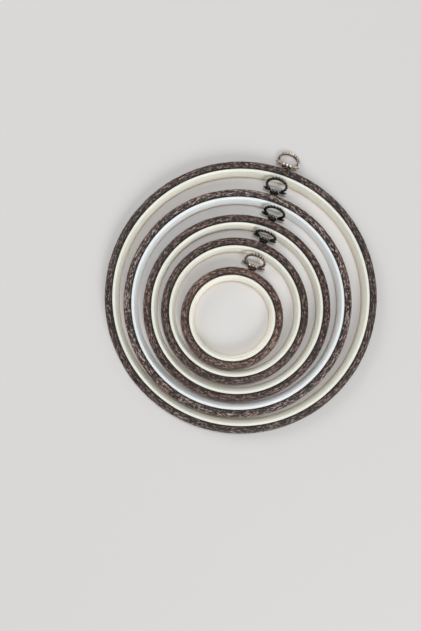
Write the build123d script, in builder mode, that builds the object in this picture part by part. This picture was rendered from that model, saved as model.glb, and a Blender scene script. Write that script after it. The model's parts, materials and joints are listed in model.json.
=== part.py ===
"""A nested set of five spring-grip embroidery hoops, lying flat one inside the other.

Each hoop is a rigid inner ring with a low lip, and a flexible outer ring that is pressed down over it
and rests on the lip, with the cloth gripped between the two. A cast hanging ring swings in the
rolled end of a clip at the top of each outer ring. The clip's tongue passes through a slot in the outer
ring, and its two ends are bent apart in a recess on the inside.

Millimetres, +Z up. The origin is the middle of the set's outline, on the surface that it lies on.
Hoops are numbered from the largest, 1, to the smallest, 5.
"""

import os
from math import asin, atan, atan2, cos, degrees, hypot, radians, sin, sqrt

from build123d import *

# The smallest hoop's opening, and the slack of each hoop inside the opening of the one round it
smallest_opening = 63.1
slack_2 = 6.95
slack_3 = 5.7
slack_4 = 5.3
slack_5 = 7.4

# How each hoop lies in the one round it: the narrowest gap, and the compass angle of that gap
nest_gap_2 = 1.5
nest_gap_3 = 1.67
nest_gap_4 = 2.27
nest_gap_5 = 1.2
gap_angle_2 = 242.2
gap_angle_3 = 260.9
gap_angle_4 = 234.7
gap_angle_5 = 248.4

# Compass angle of the hanger on each hoop, counter-clockwise from +X
hanger_angle_1 = 70.6
hanger_angle_2 = 71.7
hanger_angle_3 = 68.5
hanger_angle_4 = 67.7
hanger_angle_5 = 67.9

# Inner ring: an upright wall with a flared lip at its foot
hoop_height = 9.5
wall_width = 4.1
lip_width = 1.8
lip_height = 1.0
ring_clearance = 0.05

# Outer ring: a band with a sloping outer shoulder
band_width = 7.15
band_top_drop = 0.2
shoulder_width = 1.9
shoulder_drop = 2.2

# Hanging ring: an oval band with a ridged rim, on a straight bar with pointed ears
ring_thickness = 1.8
oval_half_width = 8.9
oval_half_height = 6.6
oval_rise = 5.0
band_side = 1.7
band_over = 1.9
opening_half_height = 4.5
ridge_count = 13
ridge_angle = 210.0
ridge_width = 1.7
ridge_crest = 0.8
ridge_depth = 0.9
foot_angle = 130.0
bar_height = 1.6
bar_half_length = 10.5
ear_length = 3.4
pin_radius = 0.75

# Hanger clip: a strip rolled round the ring's pin, with a tongue through the outer ring
pivot_height = 3.2
pivot_reach = 4.4
pin_clearance = 0.05
roll_wall = 0.6
roll_width = 8.0
swing_clearance = 0.25
tongue_width = 3.2
tongue_thickness = 1.2
collar_half_width = 3.1
collar_half_height = 2.5
collar_rise = 2.0
collar_gap = 0.1
clinch_height = 2.6
clinch_thickness = 0.7
clip_clearance = 0.1

# Rest pose: the largest hoop's hanger droops to the surface, the others lean on the ring round them
floor_gap = 0.05
lean_gap = 0.12

# One overrun for all cuts
overrun = 1.0

slacks = [slack_2, slack_3, slack_4, slack_5]
nest_gaps = [nest_gap_2, nest_gap_3, nest_gap_4, nest_gap_5]
gap_angles = [gap_angle_2, gap_angle_3, gap_angle_4, gap_angle_5]
hanger_angles = [hanger_angle_2, hanger_angle_3, hanger_angle_4, hanger_angle_5]

# Radii and heights that follow from the sizes above
band_inset = wall_width + ring_clearance
band_outset = band_inset + band_width
band_top = hoop_height - band_top_drop
bore_radius = pin_radius + pin_clearance
roll_radius = bore_radius + roll_wall
ring_reach = oval_rise + oval_half_height + ridge_depth
clinch_reach = pivot_reach + band_width
pin_half_length = roll_width / 2 + swing_clearance


def outward(angle, length):
    """The point at a length from the origin, at a compass angle in degrees."""
    return Vector(length * cos(radians(angle)), length * sin(radians(angle)), 0)


def sideways(angle):
    """A quarter turn clockwise of outward, one long: along the bar of a hanger at that angle."""
    return outward(angle, 1).cross(Vector(0, 0, 1))


def droop():
    """How far below level a hanger lies with its tip on the surface, in degrees."""
    corner = hypot(ring_reach, ring_thickness / 2)
    return degrees(asin((pivot_height - floor_gap) / corner) - atan(ring_thickness / 2 / ring_reach))


def wall_distance(pivot, angle, side, centre, radius):
    """From the pivot line, outward and level, to a round wall, at a place along the bar."""
    start = pivot + sideways(angle) * side - centre
    middle = start.dot(outward(angle, 1))
    return sqrt(middle**2 - hypot(start.X, start.Y) ** 2 + radius**2) - middle


def lean(pivot, angle, centre, radius):
    """How far above level a hanger lies when its two sides rest on the inner edge of a ring."""
    nearest = min(
        wall_distance(pivot, angle, side, centre, radius)
        for side in (-oval_half_width, 0, oval_half_width)
    )
    rise = hoop_height - pivot_height
    half = ring_thickness / 2 + lean_gap
    return degrees(atan2(rise, nearest) + asin(half / hypot(rise, nearest)))


class Hoop:
    """One hoop's place and sizes: its centre, its radii, its hanger's pivot and how far that is raised."""

    def __init__(self, number, centre, opening_radius, hanger_angle):
        self.number = number
        self.centre = centre
        self.opening_radius = opening_radius
        self.wall_radius = opening_radius + wall_width
        self.band_inner_radius = opening_radius + band_inset
        self.band_radius = opening_radius + band_outset
        self.angle = hanger_angle
        reach = outward(hanger_angle, self.band_radius + pivot_reach)
        self.pivot = centre + reach + Vector(0, 0, pivot_height)
        self.raised = -droop()

    def section_plane(self):
        """Upright through the hoop's centre: x outward from its axis, y up."""
        return Plane(origin=self.centre, x_dir=(1, 0, 0), z_dir=(0, -1, 0))

    def axis(self):
        return Axis(self.centre, (0, 0, 1))

    def pivot_plane(self, raised=0.0):
        """At the hanger's pivot: x along the bar, y outward, tilted up by an angle."""
        along = sideways(self.angle)
        out = outward(self.angle, cos(radians(raised))) + Vector(0, 0, sin(radians(raised)))
        return Plane(origin=self.pivot, x_dir=along, z_dir=along.cross(out))

    def bar_plane(self, side=0.0):
        """Square to the bar, at a place along it: x outward, y up."""
        along = sideways(self.angle)
        return Plane(origin=self.pivot + along * side, x_dir=outward(self.angle, 1), z_dir=along)

    def face_plane(self, reach):
        """Square to the hanger's direction, inward of the pivot by a reach: x along the bar, y up."""
        out = outward(self.angle, 1)
        return Plane(origin=self.pivot - out * reach, x_dir=-sideways(self.angle), z_dir=out)


def nested_hoops():
    """The five hoops, each laid inside the one before."""
    largest_radius = smallest_opening / 2 + sum(slacks) + len(slacks) * band_outset
    band_radius = largest_radius + band_outset
    tip = (band_radius + pivot_reach + ring_reach * cos(radians(droop()))) * sin(radians(hanger_angle_1))
    hoops = [Hoop(1, Vector(0, (band_radius - tip) / 2, 0), largest_radius, hanger_angle_1)]
    for slack, gap, gap_angle, hanger_angle in zip(slacks, nest_gaps, gap_angles, hanger_angles):
        around = hoops[-1]
        centre = around.centre + outward(gap_angle, slack - gap)
        opening_radius = around.opening_radius - slack - band_outset
        hoop = Hoop(around.number + 1, centre, opening_radius, hanger_angle)
        hoop.raised = lean(hoop.pivot, hoop.angle, around.centre, around.opening_radius)
        hoops.append(hoop)
    return hoops


def inner_ring(hoop):
    """The rigid ring: an upright wall with a flared lip at its foot, turned about the hoop's axis."""
    with BuildPart() as ring:
        with BuildSketch(hoop.section_plane()):
            with BuildLine():
                Polyline(
                    (hoop.opening_radius, 0),
                    (hoop.wall_radius + lip_width, 0),
                    (hoop.wall_radius, lip_height),
                    (hoop.wall_radius, hoop_height),
                    (hoop.opening_radius, hoop_height),
                    close=True,
                )
            make_face()
        revolve(axis=hoop.axis())
    return ring.part


def outer_ring(hoop):
    """The flexible ring: a shouldered band, slotted for the clip's tongue and its bent ends."""
    with BuildPart() as ring:
        with BuildSketch(hoop.section_plane()):
            with BuildLine():
                Polyline(
                    (hoop.band_inner_radius, lip_height),
                    (hoop.band_radius, lip_height),
                    (hoop.band_radius, band_top - shoulder_drop),
                    (hoop.band_radius - shoulder_width, band_top),
                    (hoop.band_inner_radius, band_top),
                    close=True,
                )
            make_face()
        revolve(axis=hoop.axis())
        # Slot for the tongue
        with BuildSketch(hoop.face_plane(clinch_reach + overrun)):
            Rectangle(tongue_width + 2 * clip_clearance, tongue_thickness + 2 * clip_clearance)
        extrude(amount=band_width + 2 * overrun, mode=Mode.SUBTRACT)
        # Recess for the tongue's bent ends
        with BuildSketch(hoop.face_plane(clinch_reach + overrun)):
            Rectangle(tongue_width + 2 * clip_clearance, clinch_height + 2 * clip_clearance)
        extrude(amount=overrun + clinch_thickness + 2 * clip_clearance, mode=Mode.SUBTRACT)
    return ring.part


def on_oval(angle, depth=0.0, side=0.0):
    """A point on the hanging ring's oval, at an angle from its tip, stepped outward and to one side."""
    across, up = sin(radians(angle)), cos(radians(angle))
    slope = Vector(across / oval_half_width, up / oval_half_height).normalized()
    place = Vector(oval_half_width * across, oval_rise + oval_half_height * up)
    return place + slope * depth + Vector(slope.Y, -slope.X) * side


def rim_outline():
    """The oval's outline from foot to foot, with a row of ridges between."""
    outline = [on_oval(-foot_angle)]
    for count in range(ridge_count):
        angle = ridge_angle * (count / (ridge_count - 1) - 1 / 2)
        outline += [
            on_oval(angle, 0, -ridge_width / 2),
            on_oval(angle, ridge_depth, -ridge_crest / 2),
            on_oval(angle, ridge_depth, ridge_crest / 2),
            on_oval(angle, 0, ridge_width / 2),
        ]
    return outline + [on_oval(foot_angle)]


def hanging_ring(hoop):
    """The cast ring: an oval band with a ridged rim on a straight bar, turned down to a pin mid-bar."""
    half_bar = bar_height / 2
    opening_rise = oval_rise + oval_half_height - band_over - opening_half_height
    with BuildPart() as ring:
        with BuildSketch(hoop.pivot_plane(hoop.raised).offset(-ring_thickness / 2)):
            with BuildLine():
                Polyline(*rim_outline(), close=True)
            make_face()
            # Bar with pointed ears
            with BuildLine():
                Polyline(
                    (-bar_half_length, half_bar),
                    (-bar_half_length + ear_length, -half_bar),
                    (bar_half_length - ear_length, -half_bar),
                    (bar_half_length, half_bar),
                    (bar_half_length - ear_length, half_bar),
                    (-bar_half_length + ear_length, half_bar),
                    close=True,
                )
            make_face()
            with Locations((0, opening_rise)):
                Ellipse(oval_half_width - band_side, opening_half_height, mode=Mode.SUBTRACT)
            # Room for the clip's roll
            with Locations((0, roll_radius + swing_clearance)):
                Rectangle(
                    2 * pin_half_length,
                    2 * oval_rise,
                    align=(Align.CENTER, Align.MAX),
                    mode=Mode.SUBTRACT,
                )
        extrude(amount=ring_thickness)
        with BuildSketch(hoop.bar_plane(-pin_half_length - pin_radius)):
            Circle(pin_radius)
        extrude(amount=2 * (pin_half_length + pin_radius))
    return ring.part


def hanger_clip(hoop):
    """The clip: a strip rolled round the pin, with a collar at the outer ring and a tongue through it."""
    seat_reach = pivot_reach - collar_gap
    end_reach = clinch_reach - clip_clearance
    with BuildPart() as clip:
        with BuildSketch(hoop.bar_plane(-roll_width / 2)):
            Circle(roll_radius)
            Rectangle(roll_radius, 2 * roll_radius, align=(Align.MAX, Align.CENTER))
            Circle(bore_radius, mode=Mode.SUBTRACT)
            Rectangle(
                bore_radius, 2 * bore_radius, align=(Align.MAX, Align.CENTER), mode=Mode.SUBTRACT
            )
        extrude(amount=roll_width)
        # Tongue, from the back of the roll through the outer ring
        with BuildSketch(hoop.face_plane(roll_radius)):
            Rectangle(tongue_width, tongue_thickness)
        extrude(amount=-(end_reach - roll_radius))
        # Collar, bulging outward from the outer ring's wall
        with BuildSketch(hoop.pivot_plane().offset(-collar_half_height)):
            with BuildLine():
                ends = [(side * collar_half_width, -seat_reach) for side in (-1, 1)]
                ThreePointArc(ends[0], (0, collar_rise - seat_reach), ends[1])
                Line(*ends)
            make_face()
        extrude(amount=2 * collar_half_height)
        # Bent ends, flat in their recess
        with BuildSketch(hoop.face_plane(end_reach)):
            Rectangle(tongue_width, clinch_height)
        extrude(amount=clinch_thickness)
    return clip.part


makers = {
    "inner_ring": inner_ring,
    "outer_ring": outer_ring,
    "hanging_ring": hanging_ring,
    "hanger_clip": hanger_clip,
}

os.makedirs("parts", exist_ok=True)
for hoop in nested_hoops():
    print(f"hoop {hoop.number}: centre {tuple(hoop.centre)}, opening radius {hoop.opening_radius:.3f}")
    print(f"    band radius {hoop.band_radius:.3f}, hanger's pivot {tuple(hoop.pivot)}")
    print(f"    hanger's angle {hoop.angle} degrees, raised {hoop.raised:.3f} degrees")
    for name, make in makers.items():
        piece = make(hoop)
        piece.label = f"{name}_{hoop.number}"
        export_step(piece, f"parts/{piece.label}.step")
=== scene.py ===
"""The look of a nested set of five spring-grip embroidery hoops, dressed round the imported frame.

Meshes are made in millimetres and turned to metres as they become pieces. Each hoop's place comes from
the frame, and hoops are numbered from the largest, 1, to the smallest, 5.
"""

import json
from math import cos, pi, radians, sin

import bpy
import numpy as np
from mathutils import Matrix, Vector
from mathutils.bvhtree import BVHTree


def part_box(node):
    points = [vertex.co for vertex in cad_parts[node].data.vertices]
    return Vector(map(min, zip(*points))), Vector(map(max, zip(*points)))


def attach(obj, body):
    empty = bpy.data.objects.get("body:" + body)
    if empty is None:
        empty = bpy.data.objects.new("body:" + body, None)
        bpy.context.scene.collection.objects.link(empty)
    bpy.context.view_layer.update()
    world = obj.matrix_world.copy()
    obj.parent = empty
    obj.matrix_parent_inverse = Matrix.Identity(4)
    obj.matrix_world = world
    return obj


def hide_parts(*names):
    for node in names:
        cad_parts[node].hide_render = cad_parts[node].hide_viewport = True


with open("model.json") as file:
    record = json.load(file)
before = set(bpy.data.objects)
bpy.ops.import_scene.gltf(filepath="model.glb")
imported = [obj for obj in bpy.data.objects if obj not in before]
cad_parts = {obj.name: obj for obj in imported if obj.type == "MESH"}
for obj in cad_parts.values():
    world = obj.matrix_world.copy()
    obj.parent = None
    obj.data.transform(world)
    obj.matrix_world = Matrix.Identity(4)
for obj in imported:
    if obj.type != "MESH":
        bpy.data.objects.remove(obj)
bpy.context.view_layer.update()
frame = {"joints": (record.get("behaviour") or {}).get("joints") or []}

MM = 0.001
FULL_TURN = 2 * pi
QUARTER_TURN = pi / 2
UP = np.array((0.0, 0.0, 1.0))

# Sizes of the hoops' sections in the frame, in millimetres
WALL_WIDTH = 4.1
LIP_WIDTH = 1.8
LIP_HEIGHT = 1.0
HOOP_HEIGHT = 9.5
BAND_INSET = 4.15
BAND_WIDTH = 7.15
BAND_TOP = 9.3

# How far above level every hanging ring's swing ends, in degrees
TOP_SWING = 125.0


# Meshes

# Where the middle point of a plate's softened edge lies, as a share of the edge
BEVEL = 0.3
# Voxel size of a skin that is fused from shells, in millimetres
SKIN_SIZE = 0.13


def grid_faces(steps, rows, wrap_steps=True):
    """Four-sided faces over points that are numbered row by row within each step, the rows a closed loop."""
    i = np.arange(steps if wrap_steps else steps - 1)
    j = np.arange(rows)
    i, j = (x.ravel() for x in np.meshgrid(i, j, indexing="ij"))
    i_next, j_next = (i + 1) % steps, (j + 1) % rows
    corners = (i * rows + j, i * rows + j_next, i_next * rows + j_next, i_next * rows + j)
    return np.stack(corners, 1).tolist()


def capped_sweep(sections):
    """Points and faces of a closed sweep, its first and last sections closed by a fan."""
    steps, rows = len(sections), len(sections[0])
    points = [point for section in sections for point in section]
    faces = grid_faces(steps, rows, wrap_steps=False)
    for end, order in ((0, 1), (steps - 1, -1)):
        hub = len(points)
        points.append(tuple(np.mean(sections[end], axis=0)))
        for row in range(rows):
            pair = (end * rows + row, end * rows + (row + 1) % rows)
            faces.append([hub, *pair[::-order]])
    return np.array(points), faces


def rounded(corners, steps=5):
    """A closed outline from corners (x, y, cut), each corner rounded from cut before it to cut after it."""
    corners = np.array(corners, float)
    points = []
    for here, before, after in zip(corners, np.roll(corners, 1, 0), np.roll(corners, -1, 0)):
        corner, cut = here[:2], here[2]
        if cut == 0:
            points.append(corner)
            continue
        ways = [(near[:2] - corner) / np.linalg.norm(near[:2] - corner) for near in (before, after)]
        start, end = (corner + way * cut for way in ways)
        for s in np.linspace(0, 1, steps + 1):
            points.append((1 - s) ** 2 * start + 2 * s * (1 - s) * corner + s**2 * end)
    return np.array(points)


def resampled(outline, spacing):
    """A closed outline's points set evenly along it, and its length."""
    closed = np.vstack([outline, outline[:1]])
    length = np.concatenate([[0], np.cumsum(np.linalg.norm(np.diff(closed, axis=0), axis=1))])
    count = int(round(length[-1] / spacing))
    at = np.arange(count) * length[-1] / count
    return np.stack([np.interp(at, length, closed[:, k]) for k in (0, 1)], 1), length[-1]


def outline_normals(outline):
    """Unit normals of a closed outline, on its right-hand side."""
    along = np.roll(outline, -1, 0) - np.roll(outline, 1, 0)
    along /= np.linalg.norm(along, axis=1)[:, None]
    return np.stack([along[:, 1], -along[:, 0]], 1)


def slab(outline, half_height, edge):
    """A flat plate with softened edges, as points and faces."""
    inward = -outline_normals(outline)
    if ((outline.mean(0) - outline) * inward).sum() < 0:
        inward = -inward
    bevel = edge * BEVEL
    upper = [(0, half_height - edge), (bevel, half_height - bevel), (edge, half_height)]
    lower = [(step, -height) for step, height in upper[::-1]]
    sections = []
    for step, height in lower + upper:
        sections.append([(x, y, height) for x, y in outline + inward * step])
    return capped_sweep(sections)


def box_shell(low, high, edge):
    """A block with softened edges, as points and faces."""
    corners = [(low[0], low[1]), (high[0], low[1]), (high[0], high[1]), (low[0], high[1])]
    outline = rounded([(x, y, edge) for x, y in corners], steps=3)
    points, faces = slab(outline, (high[2] - low[2]) / 2, edge)
    return points + (0, 0, (high[2] + low[2]) / 2), faces


def turned_about_bar(profile, steps):
    """Sections of a profile (place along the bar, radius) turned about the bar's line."""
    angles = np.arange(steps) * FULL_TURN / steps
    return [[(x, radius * cos(a), radius * sin(a)) for a in angles] for x, radius in profile]


class Shells:
    """Closed shells that overlap, gathered for fusing, each point with how worn it is."""

    def __init__(self):
        self.points, self.faces, self.wear = [], [], []

    def add(self, points, faces, wear):
        """Gathers one shell, its wear one number or one for each point."""
        start = len(self.points)
        self.points += [tuple(point) for point in points]
        self.faces += [[start + k for k in face] for face in faces]
        self.wear += list(np.broadcast_to(np.asarray(wear, float), len(points)))

    def fused(self, softening):
        """One skin over the shells, as points, faces and the wear of the nearest shell face."""
        mesh = bpy.data.meshes.new("draft")
        mesh.from_pydata(self.points, [], self.faces)
        draft = bpy.data.objects.new("draft", mesh)
        bpy.context.scene.collection.objects.link(draft)
        remesh = draft.modifiers.new("skin", "REMESH")
        remesh.mode = "VOXEL"
        remesh.voxel_size = SKIN_SIZE
        soften = draft.modifiers.new("soften", "SMOOTH")
        soften.factor, soften.iterations = 0.5, softening
        view = bpy.context.evaluated_depsgraph_get()
        made = bpy.data.meshes.new_from_object(draft.evaluated_get(view), depsgraph=view)
        points = np.empty(len(made.vertices) * 3)
        made.vertices.foreach_get("co", points)
        points = points.reshape(-1, 3)
        faces = [list(polygon.vertices) for polygon in made.polygons]
        tree = BVHTree.FromPolygons(self.points, self.faces)
        of_face = [float(np.mean([self.wear[k] for k in face])) for face in self.faces]
        wear = [of_face[tree.find_nearest(Vector(point))[2]] for point in points]
        bpy.data.objects.remove(draft)
        for used in (mesh, made):
            bpy.data.meshes.remove(used)
        return points, faces, wear


def add_piece(name, points, faces, material, body, stands_for, values=None):
    """A smooth mesh piece, which rides on a body, stands for a node and may carry a value at each point."""
    mesh = bpy.data.meshes.new(name)
    mesh.from_pydata((np.asarray(points, float) * MM).tolist(), [], faces)
    for key, numbers in (values or {}).items():
        layer = mesh.attributes.new(key, "FLOAT", "POINT")
        layer.data.foreach_set("value", np.asarray(numbers, np.float32))
    mesh.polygons.foreach_set("use_smooth", np.ones(len(mesh.polygons), bool))
    mesh.materials.append(material)
    piece = bpy.data.objects.new(name, mesh)
    bpy.context.scene.collection.objects.link(piece)
    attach(piece, body)
    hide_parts(stands_for)


# Materials


class Shader:
    """A new material, with short ways to add nodes to it. Lengths are in metres, and scales per metre."""

    def __init__(self, name):
        self.material = bpy.data.materials.new(name)
        self.material.use_nodes = True
        self.nodes = self.material.node_tree.nodes
        self.surface = self.nodes["Principled BSDF"]

    def feed(self, socket, value):
        """Links a socket to another one, or sets it to a constant."""
        if isinstance(value, bpy.types.NodeSocket):
            self.material.node_tree.links.new(value, socket)
        else:
            socket.default_value = value

    def finish(self, **inputs):
        """Feeds the surface's own sockets, their names written with underscores."""
        for key, value in inputs.items():
            self.feed(self.surface.inputs[key.replace("_", " ")], value)
        return self.material

    def node(self, kind, inputs, **settings):
        """Adds a node, makes its settings and feeds its inputs, which go by name or number."""
        made = self.nodes.new(kind)
        for key, value in settings.items():
            setattr(made, key, value)
        for key, value in inputs.items():
            self.feed(made.inputs[key], value)
        return made

    def place(self):
        """Where a point is at rest in the frame's own axes, whatever the pose."""
        return self.node("ShaderNodeTexCoord", {}).outputs["Object"]

    def attribute(self, name):
        return self.node("ShaderNodeAttribute", {}, attribute_name=name).outputs["Fac"]

    def axis(self, vector, name):
        return self.node("ShaderNodeSeparateXYZ", {0: vector}).outputs[name]

    def math(self, operation, *values):
        return self.node("ShaderNodeMath", dict(enumerate(values)), operation=operation).outputs[0]

    def vector_math(self, operation, *vectors):
        made = self.node("ShaderNodeVectorMath", dict(enumerate(vectors)), operation=operation)
        return made.outputs["Value" if operation == "LENGTH" else "Vector"]

    def noise(self, vector, scale, detail, roughness=0.5):
        inputs = {"Vector": vector, "Scale": scale, "Detail": detail, "Roughness": roughness}
        return self.node("ShaderNodeTexNoise", inputs).outputs["Fac"]

    def remap(self, value, old, new):
        """Carries a value from an old range (start, end) to a new one, and holds it there."""
        inputs = {"Value": value, "From Min": old[0], "From Max": old[1], "To Min": new[0], "To Max": new[1]}
        return self.node("ShaderNodeMapRange", inputs).outputs["Result"]

    def ramp(self, value, stops):
        """Colours a value by stops (value, colour)."""
        made = self.node("ShaderNodeValToRGB", {"Fac": value})
        elements = made.color_ramp.elements
        while len(elements) < len(stops):
            elements.new(0.5)
        for element, (at, colour) in zip(elements, stops):
            element.position = at
            element.color = (*colour, 1)
        return made.outputs["Color"]

    def mix(self, share, first, second, blend="MIX"):
        """Mixes two colours, the second as strong as the share says."""
        colours = [c if isinstance(c, bpy.types.NodeSocket) else (*c, 1) for c in (first, second)]
        # The mix node numbers its colour sockets 6, 7 and, coming out, 2
        inputs = {0: share, 6: colours[0], 7: colours[1]}
        return self.node("ShaderNodeMix", inputs, data_type="RGBA", blend_type=blend).outputs[2]

    def bump(self, height, distance, strength):
        inputs = {"Height": height, "Distance": distance, "Strength": strength}
        return self.node("ShaderNodeBump", inputs).outputs["Normal"]


# Each noise: its scale, and the values between which it shows
CLOUD_SCALE, CLOUD_RANGE = 45, (0.35, 0.7)
SPECK_SCALE, SPECK_RANGE = 900, (0.62, 0.8)
CLOUD_DIMMING = 0.93
SPECK_DIMMING, SPECK_SHARE = 0.6, 0.12
# Heights over which the rim's colour gives way to the wall's painted light, and that to the painted shade at
# its foot
WALL_LIGHT_FADE = ((HOOP_HEIGHT - 2.2) * MM, (HOOP_HEIGHT - 0.2) * MM)
FOOT_SHADE_FADE = (0.0, 0.6 * HOOP_HEIGHT * MM)
PLASTIC_ROUGHNESS, ROUGHNESS_RANGE = (0.36, 0.50), (0.3, 0.7)
SCATTER_WEIGHT = 0.9
SCATTER_RADIUS = (1.0, 0.86, 0.7)
SCATTER_DEPTH = 0.005
ORANGE_PEEL = 0.00004


def plastic(name, rim_colour, wall_light_colour, foot_shade_colour):
    """Moulded plastic: slight cloudiness, fine specks and orange peel, with painted light on the wall
    (lighter and warmer than the rim) and painted shade at its foot.
    """
    shader = Shader(name)
    place = shader.place()
    cloud = shader.noise(place, CLOUD_SCALE, detail=4)
    speck = shader.noise(place, SPECK_SCALE, detail=2)
    height = shader.axis(place, "Z")
    cloudy = [c * CLOUD_DIMMING for c in rim_colour]
    specked = [c * SPECK_DIMMING for c in foot_shade_colour]
    tone = shader.mix(shader.remap(cloud, CLOUD_RANGE, (0, 1)), rim_colour, cloudy)
    # Painted light: the wall's lighter, warmer colour stands in for light carried down through the plastic
    tone = shader.mix(shader.remap(height, WALL_LIGHT_FADE, (1, 0)), tone, wall_light_colour)
    # Painted shade: darker and tan towards the foot of the wall
    tone = shader.mix(shader.remap(height, FOOT_SHADE_FADE, (1, 0)), tone, foot_shade_colour)
    tone = shader.mix(shader.remap(speck, SPECK_RANGE, (0, SPECK_SHARE)), tone, specked)
    return shader.finish(
        Base_Color=tone,
        Roughness=shader.remap(cloud, ROUGHNESS_RANGE, PLASTIC_ROUGHNESS),
        Subsurface_Weight=SCATTER_WEIGHT,
        Subsurface_Radius=SCATTER_RADIUS,
        Subsurface_Scale=SCATTER_DEPTH,
        Normal=shader.bump(speck, ORANGE_PEEL, strength=0.5),
    )


STREAK_SCALE_ROUND = 400
STREAK_SCALE_ACROSS = 1700
STREAK_CONTRAST = 3.5
# What is added to the streaks over hollows and over ridges, and how far the curls spread the two
HOLLOW_TONE, RIDGE_TONE = -1.50, -1.12
HOLLOW_CURL, RIDGE_CURL = -0.4, 0.25
# The values at which the colour is that of the pores, the body and the rubbed ridges
TONE_STOPS = (0.12, 0.5, 0.95)
PATCH_SCALE, PATCH_RANGE, PATCH_SHARE = 38, (0.4, 0.68), 0.3
VINYL_ROUGHNESS, SHEEN_RANGE = (0.5, 0.32), (0.1, 0.9)
VINYL_GLOSS = 0.45
STREAK_DEPTH = 0.0008


def vinyl(name, centre, pores, body, ridges, blush, curl):
    """Soft vinyl pressed with wood grain: dark in the pores, paler on the rubbed ridges."""
    shader = Shader(name)
    place = shader.place()
    from_centre = shader.vector_math("SUBTRACT", place, (centre[0] * MM, centre[1] * MM, 0))
    level = shader.vector_math("MULTIPLY", from_centre, (1, 1, 0))
    # Streaks that follow the ring: slow round it, fast across it and up it
    slow = shader.vector_math("MULTIPLY", level, (STREAK_SCALE_ROUND, STREAK_SCALE_ROUND, 0))
    across = shader.math("MULTIPLY", shader.vector_math("LENGTH", level), STREAK_SCALE_ACROSS)
    upward = shader.math("MULTIPLY", shader.axis(place, "Z"), STREAK_SCALE_ACROSS)
    inputs = {"X": shader.axis(slow, "X"), "Y": shader.axis(slow, "Y"), "Z": across}
    at = shader.node("ShaderNodeCombineXYZ", inputs).outputs[0]
    inputs = {"Vector": at, "W": upward, "Scale": 1.0, "Detail": 3.0, "Roughness": 0.6}
    streak = shader.node("ShaderNodeTexNoise", inputs, noise_dimensions="4D").outputs["Fac"]
    hollow = HOLLOW_TONE + HOLLOW_CURL * curl
    ridge = RIDGE_TONE + RIDGE_CURL * curl
    # The relief is lowered next to the inner ring, which paints shade into the joint there
    lowered = shader.remap(shader.attribute("relief"), (0, 1), (hollow, ridge))
    height = shader.math("MULTIPLY_ADD", streak, STREAK_CONTRAST, lowered)
    tone = shader.ramp(height, list(zip(TONE_STOPS, (pores, body, ridges))))
    patch = shader.noise(place, PATCH_SCALE, detail=3)
    patch = shader.remap(patch, PATCH_RANGE, (0, PATCH_SHARE))
    return shader.finish(
        Base_Color=shader.mix(patch, tone, blush, "OVERLAY"),
        Specular_IOR_Level=VINYL_GLOSS,
        Roughness=shader.remap(height, SHEEN_RANGE, VINYL_ROUGHNESS),
        Normal=shader.bump(streak, STREAK_DEPTH, strength=1.0),
    )


CAST_GRAIN_SCALE = 1400
BLOT_SCALE = 420
BLOT_CONTRAST = 0.6
# What the wear adds to the blots, from none to full
WEAR_TONE = (-0.35, 0.65)
HOLLOW_ROUGHENING, RUBBED_RANGE = 0.25, (0.1, 0.8)
CAST_GRAIN_DEPTH = 0.00006


def cast_metal(name, worn, patina, roughness, dark_to, bright_from):
    """Antiqued cast metal: bright where it is rubbed, dark patina in the hollows."""
    shader = Shader(name)
    place = shader.place()
    grain = shader.noise(place, CAST_GRAIN_SCALE, detail=4, roughness=0.65)
    blot = shader.noise(place, BLOT_SCALE, detail=3)
    wear = shader.remap(shader.attribute("wear"), (0, 1), WEAR_TONE)
    rubbed = shader.math("MULTIPLY_ADD", blot, BLOT_CONTRAST, wear)
    return shader.finish(
        Base_Color=shader.ramp(rubbed, [(dark_to, patina), (bright_from, worn)]),
        Metallic=1.0,
        Roughness=shader.remap(rubbed, RUBBED_RANGE, (roughness + HOLLOW_ROUGHENING, roughness)),
        Normal=shader.bump(grain, CAST_GRAIN_DEPTH, strength=0.5),
    )


# Where each hoop lies


class Hoop:
    """One hoop's place, read from the frame: centre, opening radius and its hanger's own axes."""

    def __init__(self, number):
        self.number = number
        low, high = (np.array(corner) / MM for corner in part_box(f"inner_ring_{number}"))
        self.centre = ((low + high) / 2)[:2]
        self.opening = (high[0] - low[0]) / 2 - WALL_WIDTH - LIP_WIDTH
        joint = next(j for j in frame["joints"] if j["name"] == f"swing_{number}")
        self.pivot = np.array(joint["pos_m"]) / MM
        self.along = np.array(joint["axis"], float)
        self.out = np.cross(UP, self.along)
        self.raised = radians(TOP_SWING - joint["range_deg"][1])

    def from_pivot(self, points, raised=0.0):
        """Points given as x along the bar, y outward and z up from the pivot, tilted up by an angle."""
        points = np.asarray(points, float)
        outward = self.out * cos(raised) + UP * sin(raised)
        across = np.cross(self.along, outward)
        return self.pivot + points[:, :1] * self.along + points[:, 1:2] * outward + points[:, 2:] * across

    def turned(self, angles, outline):
        """Upright outlines (radius, height), one for each angle, turned about the hoop's centre."""
        radius, height = outline[..., 0], outline[..., 1]
        x = self.centre[0] + radius * np.cos(angles)[:, None]
        y = self.centre[1] + radius * np.sin(angles)[:, None]
        return np.stack([x, y, np.broadcast_to(height, x.shape)], -1).reshape(-1, 3)


# Inner rings

WALL_DRAFT = 1.8
DRAFT_START = 1.6
LIP_EDGE = 0.35
RING_STEP = 1.6


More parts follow.
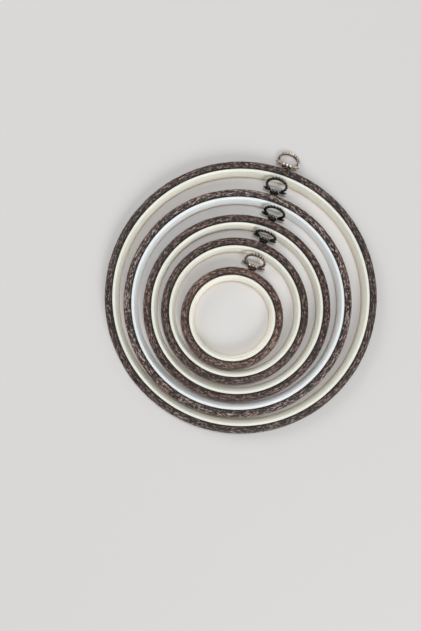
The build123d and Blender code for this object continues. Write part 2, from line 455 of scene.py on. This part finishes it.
def inner_ring(hoop, material, slot):
    """A moulded plastic ring with softened edges, a sloping inner wall and a lip at its foot."""
    near, far = hoop.opening, hoop.opening + WALL_WIDTH
    # Corners as radius, height and how far each is cut
    outline = rounded(
        [
            (near, 0.0, 0.35),
            (far + LIP_WIDTH, 0.0, 0.25),
            (far + LIP_WIDTH, LIP_EDGE, 0.2),
            (far, LIP_HEIGHT, 0.25),
            (far, HOOP_HEIGHT, 0.8),
            (near + WALL_DRAFT, HOOP_HEIGHT, 1.0),
            (near, DRAFT_START, 1.0),
        ]
    )
    steps = int(FULL_TURN * far / RING_STEP)
    angles = np.arange(steps) * FULL_TURN / steps
    shape = np.broadcast_to(outline, (steps, *outline.shape))
    add_piece(
        f"plastic_inner_ring_{hoop.number}",
        hoop.turned(angles, shape),
        grid_faces(steps, len(outline)),
        material,
        f"inner_hoop_{hoop.number}",
        f"inner_ring_{hoop.number}",
    )


# Outer rings

DOME_HEIGHT = 4.3
DOME_STEPS = 41
FOOT_CUTS = (0.3, 1.5)
GRAIN_STEP = 0.55
GRAIN_ROW = 0.36
# How far out from the inner wall the grain starts, and how much further out it is at full depth
GRAIN_START, GRAIN_FADE = 0.15, 1.6
# How much of the grain's tone is left where it isn't pressed, next to the inner ring; what is taken off
# darkens the vinyl there as painted shade in the joint
JOINT_SHADE_RELIEF = 0.1
RECESS_HALF_WIDTH = 1.8
RECESS_LOW, RECESS_HIGH = 1.7, 4.7
RECESS_DEPTH = 0.95
WALL_TOLERANCE = 0.02
FIRST_SEED = 40

# Noise of the grain: size round the ring, size across its skin, and strength
DRIFTS = ((19, 6, 2.4), (6, 3, 1.2))
BROAD, RIDGED, FINE = (10, 1.1, 0.25), (4.2, 0.85, 0.35), (1.8, 0.75, 0.40)
KNOT_SPACING = 14
# A knot's least size and its spread, along the grain and across it
KNOT_LENGTH, KNOT_WIDTH = (2.2, 2.0), (0.9, 0.7)
KNOT_LEAN = 0.25
KNOT_FADE = 0.6
KNOT_RINGS = 0.9
# The percentiles of height that become 0 and 1
HEIGHT_TRIM = (3, 97)


def lattice_noise(random, u, v, cells_u, cells_v):
    """Smooth noise from 0 to 1 over u and v from 0 to 1, which joins up at both seams."""
    cells_u, cells_v = (max(int(round(cells)), 2) for cells in (cells_u, cells_v))
    table = random.random((cells_u, cells_v))
    x, y = u * cells_u, v * cells_v
    i, j = np.floor(x).astype(int), np.floor(y).astype(int)
    x_share, y_share = (s * s * (3 - 2 * s) for s in (x - i, y - j))
    i, j, i_next, j_next = i % cells_u, j % cells_v, (i + 1) % cells_u, (j + 1) % cells_v
    low = table[i, j] * (1 - x_share) + table[i_next, j] * x_share
    high = table[i, j_next] * (1 - x_share) + table[i_next, j_next] * x_share
    return low * (1 - y_share) + high * y_share


def wood_grain(random, u, v, round_length, section_length, curl):
    """Height of pressed wood grain, 0 to 1, over the whole skin of a ring, with knots as strong as curl."""

    def noise(kind, shift=0.0):
        size_u, size_v, _ = kind
        return lattice_noise(random, u, (v + shift) % 1, round_length / size_u, section_length / size_v)

    drift = sum((noise(kind) - 0.5) * kind[2] for kind in DRIFTS)
    shift = drift / section_length
    height = BROAD[2] * noise(BROAD, shift) + RIDGED[2] * (1 - abs(2 * noise(RIDGED, shift) - 1))
    height += FINE[2] * noise(FINE, shift)
    count = int(round_length / KNOT_SPACING)
    for knot_u, knot_v, size in random.random((count, 3)):
        du = ((u - knot_u + 0.5) % 1 - 0.5) * round_length
        dv = ((v - knot_v + 0.5) % 1 - 0.5) * section_length
        length, width = (least + spread * size for least, spread in (KNOT_LENGTH, KNOT_WIDTH))
        reach = np.hypot(du / length, (dv + KNOT_LEAN * du) / width)
        fade = curl * np.exp(-KNOT_FADE * reach**2)
        height = height * (1 - fade) + fade * (0.5 + 0.5 * np.cos(FULL_TURN * reach * KNOT_RINGS))
    low, high = np.percentile(height, HEIGHT_TRIM)
    return np.clip((height - low) / (high - low), 0, 1)


def outer_ring(hoop, material, depth, curl):
    """A soft, round-shouldered vinyl ring whose skin is pressed with wood grain."""
    near = hoop.opening + BAND_INSET
    far = near + BAND_WIDTH
    shoulder = BAND_TOP - DOME_HEIGHT
    dome = np.linspace(0, pi, DOME_STEPS)
    across = (near + far + BAND_WIDTH * np.cos(dome)) / 2
    crown = np.stack([across, BAND_TOP - DOME_HEIGHT * (1 - np.sin(dome))], 1)
    foot = rounded([(near, LIP_HEIGHT, FOOT_CUTS[0]), (far, LIP_HEIGHT, FOOT_CUTS[1]), (far, shoulder, 0)])
    outline, section_length = resampled(np.vstack([foot[:-1], crown]), GRAIN_ROW)
    rows = len(outline)
    round_length = FULL_TURN * far
    steps = int(round_length / GRAIN_STEP)
    random = np.random.default_rng(FIRST_SEED + hoop.number)
    u = np.repeat(np.arange(steps) / steps, rows)
    v = np.tile(np.arange(rows) / rows, steps)
    relief = wood_grain(random, u, v, round_length, section_length, curl).reshape(steps, rows)
    bare = np.clip((outline[:, 0] - near - GRAIN_START) / GRAIN_FADE, 0, 1)
    sunk = depth * (1 - relief) * bare
    shape = outline[None] - outline_normals(outline)[None] * sunk[..., None]
    angles = np.arange(steps) * FULL_TURN / steps
    # Recess in the inner wall for the clip's bent ends
    hanger = np.arctan2(hoop.out[1], hoop.out[0])
    aside = abs((angles - hanger + pi) % FULL_TURN - pi) * near
    height = outline[:, 1]
    wall = (outline[:, 0] < near + WALL_TOLERANCE) & (height > RECESS_LOW) & (height < RECESS_HIGH)
    shape[np.ix_(aside < RECESS_HALF_WIDTH, wall, [0])] += RECESS_DEPTH
    add_piece(
        f"vinyl_outer_ring_{hoop.number}",
        hoop.turned(angles, shape),
        grid_faces(steps, rows),
        material,
        f"outer_hoop_{hoop.number}",
        f"outer_ring_{hoop.number}",
        # Painted shade: the relief is cut down next to the inner ring, darkening the vinyl in the joint
        {"relief": (relief * (JOINT_SHADE_RELIEF + (1 - JOINT_SHADE_RELIEF) * bare)).ravel()},
    )


# Hanging rings, with x along the bar, y towards the tip and z through the thickness

OVAL_HALF_WIDTH, OVAL_HALF_HEIGHT, OVAL_RISE = 8.9, 6.6, 5.0
EYE_HALF_WIDTH, EYE_HALF_HEIGHT, EYE_RISE = 7.2, 4.5, 5.2
HALF_THICKNESS = 0.9
FOOT_ANGLE = radians(141)
# The band's feet are thinner past this angle, in radians, within this much further and by this share
FOOT_THIN_ANGLE, FOOT_THIN_OVER, FOOT_THINNING = 1.95, 0.2, 0.08
RIDGES = 13
RIDGE_ANGLE = radians(210)
RIDGE_DEPTH = 0.95
RIDGE_SECTIONS = 16
RIDGE_END_FADE = 0.16
# How far each strand leans, in ridges, over the thickness and towards the edge
LEAN_OVER, LEAN_OUT = 0.22, 0.12
STRAND_SHARPNESS = 1.2
# How far troughs and crests stand out, as shares of the ridges' depth
TROUGH_LIFT, CREST_LIFT = 0.06, 0.9
TROUGH_THINNING = 0.55
# Half of the rim's section: share of its width from the eye outward, and share of its half thickness
RIM_SECTION = (
    (0.0, 0.0),
    (0.01, 0.45),
    (0.05, 0.78),
    (0.14, 0.94),
    (0.28, 1.0),
    (0.44, 0.98),
    (0.54, 0.86),
    (0.6, 0.68),
    (0.64, 0.64),
    (0.69, 0.74),
    (0.77, 0.85),
    (0.86, 0.82),
    (0.94, 0.56),
    (1.0, 0.0),
)
# Where the groove between the bead and the rope lies, as a share of that width, and how wide it is
GROOVE, GROOVE_REACH = 0.62, 0.05
# How worn the bead's crest and the rope's troughs are, and the share that grime takes off in the groove
BEAD_WEAR = 0.62
TROUGH_WEAR = 0.05
GROOVE_GRIME = 0.85

BAR_HALF = 0.8
PIN_HALF_LENGTH = 4.25
PIN_RADIUS = 0.72
PIN_OVERLAP = 0.7
PIN_STEPS = 24
# One end of the bar with its pointed ear, as x, y and how far the corner is cut
BAR_END = (
    (PIN_HALF_LENGTH, -BAR_HALF, 0.2),
    (7.3, -BAR_HALF, 0.9),
    (10.46, 0.72, 0.12),
    (8.7, 0.86, 0.8),
    (7.75, 2.4, 0.4),
    (6.5, 2.5, 0.3),
    (5.9, 0.85, 0.8),
    (PIN_HALF_LENGTH, BAR_HALF, 0.2),
)
BAR_THICKNESS_SHARE = 0.96
BAR_EDGE = 0.28


def rim(shells):
    """The oval band: a smooth bead round the eye, and a slanted rope edge outside it."""
    upper = np.array(RIM_SECTION)
    section = np.vstack([upper, upper[-2:0:-1] * (1, -1)])
    share, thick = section[:, 0], section[:, 1]
    rope = np.clip((share - GROOVE) / (1 - GROOVE), 0, 1)
    clean = 1 - GROOVE_GRIME * (abs(share - GROOVE) < GROOVE_REACH)
    sections, wear = [], []
    for turn in np.linspace(-FOOT_ANGLE, FOOT_ANGLE, RIDGES * RIDGE_SECTIONS):
        eye = np.array((EYE_HALF_WIDTH * sin(turn), EYE_RISE + EYE_HALF_HEIGHT * cos(turn)))
        edge = np.array((OVAL_HALF_WIDTH * sin(turn), OVAL_RISE + OVAL_HALF_HEIGHT * cos(turn)))
        slope = np.array((sin(turn) / OVAL_HALF_WIDTH, cos(turn) / OVAL_HALF_HEIGHT))
        slope /= np.linalg.norm(slope)
        phase = turn / RIDGE_ANGLE * (RIDGES - 1) + LEAN_OVER * thick + LEAN_OUT * rope
        strand = abs(np.cos(pi * phase)) ** STRAND_SHARPNESS
        within = np.clip((RIDGE_ANGLE / 2 + RIDGE_END_FADE - abs(turn)) / RIDGE_END_FADE, 0, 1)
        lift = RIDGE_DEPTH * rope * (TROUGH_LIFT + CREST_LIFT * strand * within)
        flat = eye + (edge - eye) * share[:, None] + slope * lift[:, None]
        trough = rope * (rope < 1) * (1 - strand) * within
        height = HALF_THICKNESS * thick * (1 - TROUGH_THINNING * trough)
        height *= 1 - FOOT_THINNING * np.clip((abs(turn) - FOOT_THIN_ANGLE) / FOOT_THIN_OVER, 0, 1)
        sections.append([tuple(point) for point in np.column_stack([flat, height])])
        rope_wear = TROUGH_WEAR + (1 - TROUGH_WEAR) * strand * within
        wear.append(np.where(rope > 0, rope_wear, BEAD_WEAR * thick**2) * clean)
    points, faces = capped_sweep(sections)
    # The two fans' hubs, inside the bar's ends, aren't worn
    shells.add(points, faces, np.concatenate([*wear, (0, 0)]))


def hanging_ring(hoop, material, slot):
    """The cast ring: rim, bar with two ears, and the pin at mid-bar."""
    shells = Shells()
    rim(shells)
    for side in (-1, 1):
        outline = rounded([(side * x, y, cut) for x, y, cut in BAR_END])
        points, faces = slab(outline, HALF_THICKNESS * BAR_THICKNESS_SHARE, BAR_EDGE)
        shells.add(points, faces, wear=0.15 + abs(points[:, 2]) * 0.5)
    ends = [(side * (PIN_HALF_LENGTH + PIN_OVERLAP), PIN_RADIUS) for side in (-1, 1)]
    shells.add(*capped_sweep(turned_about_bar(ends, PIN_STEPS)), wear=0.4)
    points, faces, wear = shells.fused(softening=3)
    add_piece(
        f"cast_hanging_ring_{hoop.number}",
        hoop.from_pivot(points, hoop.raised),
        faces,
        material,
        f"hanger_{hoop.number}",
        f"hanging_ring_{hoop.number}",
        {"wear": wear},
    )


# Hanger clips, with x along the bar, y outward from the hoop and z up

KNUCKLE_SPACING = 3.05
KNUCKLE_HALF_WIDTH = 0.95
ROLL_RADIUS = 1.4
BORE_RADIUS = 0.78
# A knuckle's softened edge: steps in from its side, and drops from its full radius
KNUCKLE_EDGE = ((0.0, 0.34), (0.14, 0.12), (0.42, 0.0))
KNUCKLE_CROWN = 0.03
KNUCKLE_STEPS = 32
STRAP_HALF_THICKNESS, STRAP_EDGE = 0.6, 0.2
STRAP_FRONT, STRAP_TAPER_START, STRAP_BACK = -1.0, -1.9, -4.2
STRAP_INSET = 0.1
STRAP_WIDE_HALF_WIDTH = KNUCKLE_SPACING + KNUCKLE_HALF_WIDTH - STRAP_INSET
STRAP_SLIM_HALF_WIDTH = 2.3
STRAP_CUT = 0.5
TONGUE_HALF_WIDTH, TONGUE_HALF_THICKNESS = 1.6, 0.6
TONGUE_START, TONGUE_END = -2.2, -11.45
CLINCH_HALF_HEIGHT, CLINCH_THICKNESS = 1.3, 0.7
TONGUE_EDGE, CLINCH_EDGE = 0.15, 0.12

# Where the collar stands against the outer ring
SEAT = -4.3
COLLAR_HALF_WIDTH, COLLAR_RISE, COLLAR_HALF_HEIGHT = 3.1, 2.0, 2.5
COLLAR_STEPS, COLLAR_ROWS = 33, 13
# The dome stays under the collar's full rise, and this power of a cosine rounds it
DOME_SHARE, DOME_POWER = 0.9, 0.75
COLLAR_BACK = 0.3
# The raised lip round the collar: shares of its half width and rise, height above level, and radius
RAISED_WIDTH_SHARE, RAISED_RISE_SHARE = 0.92, 0.84
RAISED_HEIGHT, RAISED_RADIUS = 0.95, 0.42
RAISED_TURN = 0.98 * QUARTER_TURN
RAISED_STEPS = 12


def knuckles(shells):
    """Three rolled knuckles round the pin."""
    side = -KNUCKLE_HALF_WIDTH
    half = [(side, BORE_RADIUS)]
    half += [(side + inward, ROLL_RADIUS - drop) for inward, drop in KNUCKLE_EDGE]
    middle = (0, ROLL_RADIUS + KNUCKLE_CROWN)
    profile = half + [middle] + [(-x, radius) for x, radius in half[::-1]]
    for place in (-KNUCKLE_SPACING, 0, KNUCKLE_SPACING):
        sections = turned_about_bar([(x + place, radius) for x, radius in profile], KNUCKLE_STEPS)
        points = [point for section in sections for point in section]
        shells.add(points, grid_faces(len(sections), KNUCKLE_STEPS), wear=1.0)


def strap_and_tongue(shells):
    """The strip behind the knuckles, narrowing to the collar, its tongue and the tongue's bent ends."""
    wide, slim = STRAP_WIDE_HALF_WIDTH, STRAP_SLIM_HALF_WIDTH
    corners = [
        (-slim, STRAP_BACK, 0),
        (slim, STRAP_BACK, 0),
        (wide, STRAP_TAPER_START, STRAP_CUT),
        (wide, STRAP_FRONT, 0),
        (-wide, STRAP_FRONT, 0),
        (-wide, STRAP_TAPER_START, STRAP_CUT),
    ]
    shells.add(*slab(rounded(corners), STRAP_HALF_THICKNESS, STRAP_EDGE), wear=0.0)
    low = (-TONGUE_HALF_WIDTH, TONGUE_END, -TONGUE_HALF_THICKNESS)
    high = (TONGUE_HALF_WIDTH, TONGUE_START, TONGUE_HALF_THICKNESS)
    shells.add(*box_shell(low, high, TONGUE_EDGE), wear=0.3)
    low = (-TONGUE_HALF_WIDTH, TONGUE_END, -CLINCH_HALF_HEIGHT)
    high = (TONGUE_HALF_WIDTH, TONGUE_END + CLINCH_THICKNESS, CLINCH_HALF_HEIGHT)
    shells.add(*box_shell(low, high, CLINCH_EDGE), wear=0.4)


def collar(shells):
    """The domed collar against the outer ring, with a raised lip round it above level."""
    sections = []
    for turn in np.linspace(-QUARTER_TURN, QUARTER_TURN, COLLAR_STEPS):
        x, y = COLLAR_HALF_WIDTH * sin(turn), COLLAR_RISE * DOME_SHARE * cos(turn)
        section = []
        for tilt in np.linspace(-QUARTER_TURN, QUARTER_TURN, COLLAR_ROWS):
            bulge = cos(tilt) ** DOME_POWER
            section.append((x * bulge, SEAT + y * bulge, COLLAR_HALF_HEIGHT * sin(tilt)))
        for side in (1, -1):
            section.append((x / 2, SEAT - COLLAR_BACK, side * COLLAR_HALF_HEIGHT / 2))
        sections.append(section)
    shells.add(*capped_sweep(sections), wear=0.15)
    sections = []
    for turn in np.linspace(-RAISED_TURN, RAISED_TURN, COLLAR_STEPS):
        x = COLLAR_HALF_WIDTH * RAISED_WIDTH_SHARE * sin(turn)
        y = SEAT + COLLAR_RISE * RAISED_RISE_SHARE * cos(turn)
        middle = np.array((x, y, RAISED_HEIGHT))
        outward = np.array((sin(turn), cos(turn), 0))
        section = []
        for around in np.arange(RAISED_STEPS) * FULL_TURN / RAISED_STEPS:
            section.append(tuple(middle + RAISED_RADIUS * (outward * cos(around) + UP * sin(around))))
        sections.append(section)
    shells.add(*capped_sweep(sections), wear=1.0)


def hanger_clip(hoop, material, slot):
    """The clip: knuckles, strap, tongue and collar in one skin."""
    shells = Shells()
    knuckles(shells)
    strap_and_tongue(shells)
    collar(shells)
    points, faces, wear = shells.fused(softening=2)
    add_piece(
        f"rolled_hanger_clip_{hoop.number}",
        hoop.from_pivot(points),
        faces,
        material,
        f"outer_hoop_{hoop.number}",
        f"hanger_clip_{hoop.number}",
        {"wear": wear},
    )


# Dressing

# Colours of the rim, the wall's painted light and the painted shade at its foot
CREAM = plastic("cream plastic", (0.795, 0.79, 0.695), (0.96, 0.90, 0.78), (0.94, 0.72, 0.50))
COOL_WHITE = plastic("cool white plastic", (0.80, 0.86, 0.845), (0.92, 0.94, 0.92), (0.88, 0.80, 0.69))
# Colours of worn metal and patina, roughness where worn, and the tones that are all patina and all worn
BRONZE = cast_metal("antique bronze", (0.74, 0.61, 0.50), (0.018, 0.010, 0.006), 0.36, 0.2, 0.8)
# Painted shade: the next two are darker copies of the one antique bronze, for hanger 5 in the shade of hoop 4
# and for hangers 2 to 4, which face away from the light
SHADED_BROWN_BRONZE = cast_metal("shaded brown bronze", (0.52, 0.41, 0.35), (0.018, 0.010, 0.008), 0.26, 0.15, 0.85)
SHADED_DARK_BRONZE = cast_metal("shaded dark bronze", (0.200, 0.185, 0.165), (0.006, 0.005, 0.004), 0.18, 0.3, 1.0)

# For each hoop: its plastic, its metal, and their slots in the record
# Hangers 2 to 5 take the painted-shade copies of the bronze; the slot names are the record's
FINISHES = {
    1: ((CREAM, "cream_plastic"), (BRONZE, "bronze")),
    2: ((COOL_WHITE, "cool_white_plastic"), (SHADED_DARK_BRONZE, "dark_bronze")),
    3: ((CREAM, "cream_plastic"), (SHADED_DARK_BRONZE, "dark_bronze")),
    4: ((CREAM, "cream_plastic"), (SHADED_DARK_BRONZE, "dark_bronze")),
    5: ((CREAM, "cream_plastic"), (SHADED_BROWN_BRONZE, "bronze")),
}
# For each outer ring: pores, body, rubbed ridges, blush, how deep the grain is and how strong its curls are
VINYLS = {
    1: ((0.003, 0.002, 0.001), (0.040, 0.021, 0.016), (0.300, 0.225, 0.190), (0.40, 0.31, 0.28), 0.38, 0.5),
    2: ((0.004, 0.002, 0.002), (0.066, 0.038, 0.030), (0.480, 0.380, 0.340), (0.46, 0.32, 0.28), 0.42, 0.7),
    3: ((0.003, 0.002, 0.001), (0.042, 0.019, 0.015), (0.300, 0.200, 0.165), (0.48, 0.31, 0.25), 0.38, 0.5),
    4: ((0.004, 0.002, 0.002), (0.045, 0.024, 0.018), (0.280, 0.195, 0.160), (0.46, 0.31, 0.25), 0.34, 0.4),
    5: ((0.012, 0.007, 0.005), (0.095, 0.053, 0.040), (0.370, 0.255, 0.205), (0.50, 0.35, 0.28), 0.34, 0.4),
}

for number, (ring_finish, metal_finish) in FINISHES.items():
    hoop = Hoop(number)
    inner_ring(hoop, *ring_finish)
    *tones, depth, curl = VINYLS[number]
    outer_ring(hoop, vinyl(f"grained vinyl {number}", hoop.centre, *tones, curl), depth, curl)
    hanging_ring(hoop, *metal_finish)
    hanger_clip(hoop, *metal_finish)


# Stage, light and camera, in metres

FLOOR_HALF = 4.0
FLOOR_DROP = 0.0002
FLOOR_COLOUR = (0.62, 0.61, 0.60, 1)
SKY_COLOUR = (0.97, 0.985, 1.0, 1)
SKY_STRENGTH = 0.3
# Each lamp's name, place, width and power in watts
LAMPS = (
    ("window", (0.3, 0.9, 2.95), 0.8, 38),
    ("fill", (0.9, -2.0, 1.4), 1.2, 38),
    ("side fill", (-1.7, 1.2, 1.2), 1.2, 19),
)
CAMERA_PLACE = (-0.0251, -0.01959, 0.356)
CAMERA_LENS = 24


def floor():
    """A wide, pale floor just under the hoops."""
    mesh = bpy.data.meshes.new("floor")
    corners = [(x * FLOOR_HALF, y * FLOOR_HALF, -FLOOR_DROP) for x, y in ((-1, -1), (1, -1), (1, 1), (-1, 1))]
    mesh.from_pydata(corners, [], [(0, 1, 2, 3)])
    mesh.materials.append(Shader("pale floor").finish(Base_Color=FLOOR_COLOUR, Roughness=0.9))
    made = bpy.data.objects.new("floor", mesh)
    bpy.context.scene.collection.objects.link(made)


def area_lamp(name, place, width, power):
    """A round lamp that faces the set and isn't itself in any picture."""
    lamp = bpy.data.lights.new(name, "AREA")
    lamp.shape = "DISK"
    lamp.size = width
    lamp.energy = power
    made = bpy.data.objects.new(name, lamp)
    made.visible_camera = False
    made.location = place
    made.rotation_euler = (-Vector(place)).to_track_quat("-Z", "Y").to_euler()
    bpy.context.scene.collection.objects.link(made)


floor()
for lamp in LAMPS:
    area_lamp(*lamp)
world = bpy.data.worlds.new("studio")
world.use_nodes = True
background = world.node_tree.nodes["Background"]
background.inputs["Color"].default_value = SKY_COLOUR
background.inputs["Strength"].default_value = SKY_STRENGTH
bpy.context.scene.world = world
bpy.context.scene.view_settings.view_transform = "Standard"

# The camera looks straight down, as the photograph does
camera = bpy.data.cameras.new("camera")
camera.lens = CAMERA_LENS
camera.clip_start = 0.01
eye = bpy.data.objects.new("camera", camera)
eye.location = CAMERA_PLACE
bpy.context.scene.collection.objects.link(eye)
bpy.context.scene.camera = eye
